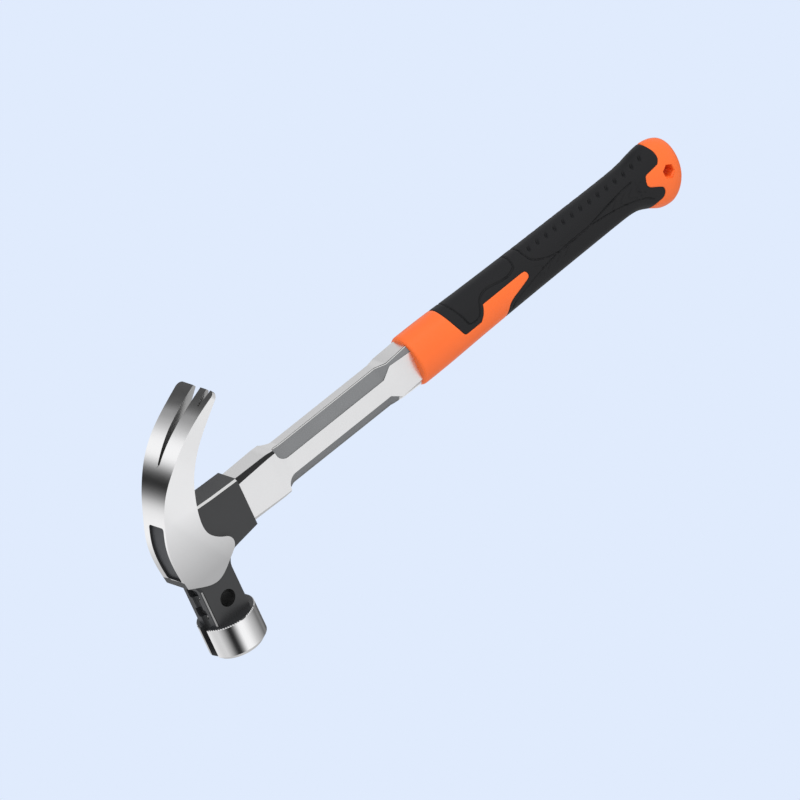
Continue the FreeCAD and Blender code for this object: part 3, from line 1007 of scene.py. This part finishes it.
class HAMMER_OT_shaft(bpy.types.Operator):
    """Fluted steel tube from the head's eye to the grip's tail"""
    bl_idname = "hammer.shaft"
    bl_label = "Shaft"

    def execute(self, context):
        sections = shaft_sections()
        rings = [shaft_ring(tang_section(TANG_TOP)), shaft_ring(tang_section(COLLAR_END))]
        rings += [shaft_ring(section) for section in sections]
        inner = [section for section in SHAFT if section[0] < COLLAR_END - 6]
        rings += [shaft_ring(section, WALL) for section in reversed(inner)]
        rings.append(shaft_ring((COLLAR_END - 6.0,) + SHAFT[0][1:], WALL))
        rings.append(shaft_ring(tang_section(COLLAR_END - 2.0), WALL))
        rings.append(shaft_ring(tang_section(TANG_TOP), WALL))
        mesh = ring_solid("fluted_shaft", rings, closed=True)
        outer_faces = RING_POINTS * (len(sections) + 1)
        for polygon in mesh.polygons:
            along = local(polygon.center)[1]
            polygon.material_index = shaft_finish(polygon.index, along, outer_faces)
        smooth(mesh, SHAFT_SHARP)
        piece = add_piece("fluted_shaft", mesh, SHAFT_FINISHES)
        round_edges(piece, context.scene.hammer_sizes.shaft_edge, SHAFT_BEVEL)
        stand_for(piece, "shaft_tube")
        return {"FINISHED"}


class HAMMER_OT_wedge(bpy.types.Operator):
    """Steel wedge that spreads the tang, hidden under the eye cover"""
    bl_idname = "hammer.wedge"
    bl_label = "Tang wedge"

    def execute(self, context):
        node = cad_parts["tang_wedge"]
        node.data.materials.clear()
        node.data.materials.append(finish("wedge_steel"))
        return {"FINISHED"}


def soft_room(name, amount):
    """The room of the soft cover: its outline through the grip, less the hard core."""
    slab = prism(name, shift_outline(soft_outline(), amount), -20, 20)
    core = grip_mesh(name + "_core", SOFT_THICKNESS - 0.01, 96, 1.2, CORE_FIRST, CORE_LAST)
    return combined(slab, core, "DIFFERENCE")


def box_solid(name, along_low, along_high):
    return prism(name, [(-40, along_low), (40, along_low), (40, along_high), (-40, along_high)], -40, 40)


def hard_grip(name, along_low, along_high):
    """The hard grip between two places along the handle, with room for the soft cover."""
    sizes = bpy.context.scene.hammer_sizes
    body = grip_mesh(name, 0.0, 200, 0.55)
    body = combined(body, box_solid(name + "_span", along_low, along_high), "INTERSECT")
    body = combined(body, soft_room(name + "_soft", sizes.seam / MM), "DIFFERENCE")
    return body


class HAMMER_OT_sleeve(bpy.types.Operator):
    """Hard plastic sleeve at the front of the grip, under the soft cover"""
    bl_idname = "hammer.sleeve"
    bl_label = "Grip sleeve"

    def execute(self, context):
        mesh = hard_grip("grip_shell", CAP_JOINT, GRIP_FRONT + 5)
        mesh = combined(mesh, shaft_solid(), "DIFFERENCE")
        sink(mesh, seam_depth)
        smooth(mesh, 32)
        piece = add_piece("grip_shell", mesh, ["hard_plastic"])
        stand_for(piece, "grip_sleeve")
        return {"FINISHED"}


class HAMMER_OT_soft_cover(bpy.types.Operator):
    """Soft cover moulded over the sleeve and cap, with its lines and dimples"""
    bl_idname = "hammer.soft_cover"
    bl_label = "Soft cover"

    def execute(self, context):
        sizes = context.scene.hammer_sizes
        mesh = grip_mesh("soft_cover", 0.0, 300, 0.36)
        mesh = combined(mesh, soft_room("soft_cover_room", -sizes.seam / MM), "INTERSECT")
        sink(mesh, soft_depth)
        smooth(mesh, 40)
        piece = add_piece("soft_cover", mesh, ["soft_rubber"])
        stand_for(piece, "soft_grip")
        return {"FINISHED"}


def hex_cutter(name):
    """A six-sided hole with a small lead-in at both faces."""
    rings = []
    mouth = [(14, 1.4), (10.6, 1.0), (9.9, 0.0)]     # height, and how much wider the hole is there
    for side, wider in [(-side, wider) for side, wider in mouth] + mouth[::-1]:
        reach = (HANG_FLATS + wider) / 2 / math.cos(math.radians(30))
        rings.append([place(HANG_HOLE[0] + reach * math.cos(math.radians(60 * k)),
                            HANG_HOLE[1] + reach * math.sin(math.radians(60 * k)), side) for k in range(6)])
    return ring_solid(name, rings)


SPIGOT_LENGTH = 22.0


class HAMMER_OT_tail_cap(bpy.types.Operator):
    """Flared tail cap with a six-sided hanging hole and a spigot into the tube"""
    bl_idname = "hammer.tail_cap"
    bl_label = "Tail cap"

    def execute(self, context):
        mesh = hard_grip("tail_cap_shell", GRIP_END - 5, CAP_JOINT)
        mesh = combined(mesh, hex_cutter("hang_hole_room"), "DIFFERENCE")
        mesh = combined(mesh, shaft_solid(), "DIFFERENCE")
        first, last = SHAFT[-2:]
        share = (TUBE_END + SPIGOT_LENGTH - first[0]) / (last[0] - first[0])
        middle = tuple(a + (b - a) * share for a, b in zip(first, last))
        rings = [shaft_ring(middle, WALL), shaft_ring((TUBE_END - 1.0,) + last[1:], WALL)]
        mesh = combined(mesh, ring_solid("spigot_room", rings), "UNION")
        sink(mesh, seam_depth)
        smooth(mesh, 32)
        piece = add_piece("tail_cap_shell", mesh, ["hard_plastic"])
        stand_for(piece, "tail_cap")
        return {"FINISHED"}


# ================= studio =================
BACK = Vector((0.3994, -0.4750, 0.7841))
RIGHT = Vector((-0.7165, 0.3719, 0.5902))
UP = Vector((-0.5720, -0.7976, -0.1918))
LOOK_AT = Vector((0.0184, 0.0143, 0.0145))
SENSOR = 36.0


def grey(level):
    """Linear light of a display grey, where 255 is white. The room also has brighter ones."""
    share = level / 255
    return share / 12.92 if share <= 0.04045 else ((share + 0.055) / 1.055) ** 2.4


def ramp(tree, value, stops):
    """A smooth grey scale from (position, light) stops, with light in linear units."""
    made = put(tree, "ShaderNodeValToRGB", Fac=value)
    made.color_ramp.interpolation = "B_SPLINE"
    elements = made.color_ramp.elements
    while len(elements) > 1:
        elements.remove(elements[-1])
    for index, (position, light) in enumerate(stops):
        element = elements[0] if index == 0 else elements.new(position)
        element.position = position
        element.color = (light, light, light, 1)
    return made.outputs[0]


# Display greys that the room shows to polished steel, by heading in degrees, below the horizon.
LOW_ROOM = [(-180, 215), (-130, 228), (-108, 180), (-94, 60), (-83, 66), (-75, 170), (-62, 250), (-46, 270),
            (-37, 120), (-30, 40), (-22, 40), (-12, 150), (0, 245), (15, 258), (40, 232),
            (60, 195), (90, 185), (115, 205), (135, 120), (149, 60), (165, 150), (180, 215)]
# The same above the horizon on the striking face's side, by angle about the poll's axis.
HIGH_ROOM = [(0, 220), (12, 208), (28, 150), (41, 50), (51, 28), (60, 60), (71, 170), (84, 262), (98, 258),
             (110, 248), (122, 228), (135, 200), (150, 180), (168, 140), (180, 110)]


# Display grey of the room above the horizon on the claw's side.
OPEN_SIDE = 238
FLOOR_HALF = 40.0                        # metres
FLOOR_GAP = 0.0002
FILL_LIGHT, FILL_STRENGTH = (0.93, 0.96, 1.0, 1), 0.85
# Area lights: name, place, width and height in metres, and power in watts.
LIGHTS = [
    ("rear_light", (-0.3, -1.3, 0.6), (1.6, 0.5), 5.0),
    ("top_light", (-0.1, -0.9, 1.5), (1.2, 0.8), 5.0),
]


def add_camera(scene, sizes):
    camera = bpy.data.objects.new("camera", bpy.data.cameras.new("camera"))
    scene.collection.objects.link(camera)
    turn = Matrix((RIGHT, UP, BACK)).transposed()
    camera.matrix_world = Matrix.Translation(LOOK_AT + BACK * sizes.view_distance) @ turn.to_4x4()
    camera.data.sensor_width = SENSOR
    camera.data.clip_end = sizes.view_distance * 4
    camera.data.lens = SENSOR * sizes.view_distance / sizes.view_width
    scene.camera = camera


def add_floor(scene, colour):
    """A pale floor that gives one even light and isn't seen in the steel."""
    corners = [(x * FLOOR_HALF, y * FLOOR_HALF, 0) for x, y in ((-1, -1), (1, -1), (1, 1), (-1, 1))]
    mesh = mesh_of("floor", corners, [(0, 1, 2, 3)])
    floor = bpy.data.objects.new("floor", mesh)
    scene.collection.objects.link(floor)
    floor.location.z = -FLOOR_GAP
    material = bpy.data.materials.new("pale_floor")
    material.use_nodes = True
    tree = material.node_tree
    tree.nodes.clear()
    glow = put(tree, "ShaderNodeEmission", Color=colour, Strength=1.0)
    put(tree, "ShaderNodeOutputMaterial", _0=glow.outputs[0])
    mesh.materials.append(material)
    floor.visible_glossy = False


def room_light(tree):
    """The light that shiny faces reflect, by direction."""
    heading = put(tree, "ShaderNodeTexCoord").outputs["Generated"]
    split = put(tree, "ShaderNodeSeparateXYZ", Vector=heading).outputs
    turn_flat = maths(tree, "ARCTAN2", split[1], split[0])
    low = ramp(tree, spread(tree, turn_flat, 0, 1, -math.pi, math.pi),
               [((angle + 180) / 360, grey(level)) for angle, level in LOW_ROOM])
    turn_up = maths(tree, "ARCTAN2", maths(tree, "ABSOLUTE", split[2]), split[0])
    high = ramp(tree, spread(tree, turn_up, 0, 1, 0, math.pi),
                [(angle / 180, grey(level)) for angle, level in HIGH_ROOM])
    above = mixed(tree, spread(tree, split[1], 0, 1, 0.0, 0.35), (*[grey(OPEN_SIDE)] * 3, 1), high)
    return mixed(tree, spread(tree, split[2], 0, 1, -0.45, -0.05), low, above)


def add_room(scene, colour):
    """The camera sees the floor's colour, shiny faces see the room, and the rest gets soft light."""
    world = bpy.data.worlds.new("soft_room")
    scene.world = world
    world.use_nodes = True
    tree = world.node_tree
    tree.nodes.clear()
    mirrored = put(tree, "ShaderNodeBackground", Color=room_light(tree), Strength=1.0).outputs[0]
    seen = put(tree, "ShaderNodeBackground", Color=colour, Strength=1.0).outputs[0]
    soft = put(tree, "ShaderNodeBackground", Color=FILL_LIGHT, Strength=FILL_STRENGTH).outputs[0]
    path = put(tree, "ShaderNodeLightPath").outputs
    unseen = put(tree, "ShaderNodeMixShader", _0=path["Is Glossy Ray"], _1=soft, _2=mirrored).outputs[0]
    light = put(tree, "ShaderNodeMixShader", _0=path["Is Camera Ray"], _1=unseen, _2=seen).outputs[0]
    put(tree, "ShaderNodeOutputWorld", _0=light)


def add_lights(scene):
    for name, where, size, power in LIGHTS:
        light = bpy.data.lights.new(name, "AREA")
        light.shape = "RECTANGLE"
        light.size, light.size_y = size
        light.energy = power
        lamp = bpy.data.objects.new(name, light)
        scene.collection.objects.link(lamp)
        lamp.location = where
        lamp.visible_camera = False
        lamp.visible_glossy = False
        lamp.rotation_mode = "QUATERNION"
        lamp.rotation_quaternion = (LOOK_AT - Vector(where)).to_track_quat("-Z", "Y")


class HAMMER_OT_studio(bpy.types.Operator):
    """Pale floor, soft light, surrounding room and camera"""
    bl_idname = "hammer.studio"
    bl_label = "Studio"

    def execute(self, context):
        scene = context.scene
        scene.view_settings.view_transform = "Standard"
        scene.view_settings.look = "None"
        floor_colour = (*scene.hammer_colours.floor, 1)
        add_camera(scene, scene.hammer_sizes)
        add_floor(scene, floor_colour)
        add_room(scene, floor_colour)
        add_lights(scene)
        return {"FINISHED"}


PIECE_STEPS = [
    HAMMER_OT_head, HAMMER_OT_eye_cover, HAMMER_OT_magnets, HAMMER_OT_shaft, HAMMER_OT_wedge,
    HAMMER_OT_sleeve, HAMMER_OT_soft_cover, HAMMER_OT_tail_cap, HAMMER_OT_studio,
]


class HAMMER_PT_panel(bpy.types.Panel):
    """Lists the hammer's pieces, sizes and colours"""
    bl_idname = "HAMMER_PT_panel"
    bl_label = "Claw Hammer"
    bl_space_type = "VIEW_3D"
    bl_region_type = "UI"
    bl_category = "Hammer"

    def draw(self, context):
        for step in PIECE_STEPS:
            self.layout.operator(step.bl_idname)
        for group in (context.scene.hammer_sizes, context.scene.hammer_colours):
            for name in group.__annotations__:
                self.layout.prop(group, name)


CLASSES = [HammerSizes, HammerColours, *PIECE_STEPS, HAMMER_PT_panel]


def register():
    for kind in CLASSES:
        bpy.utils.register_class(kind)
    bpy.types.Scene.hammer_sizes = PointerProperty(type=HammerSizes)
    bpy.types.Scene.hammer_colours = PointerProperty(type=HammerColours)


def unregister():
    del bpy.types.Scene.hammer_sizes
    del bpy.types.Scene.hammer_colours
    for kind in reversed(CLASSES):
        bpy.utils.unregister_class(kind)


def main():
    register()
    for step in PIECE_STEPS:
        group, name = step.bl_idname.split(".")
        getattr(getattr(bpy.ops, group), name)()


if __name__ == "__main__":
    main()
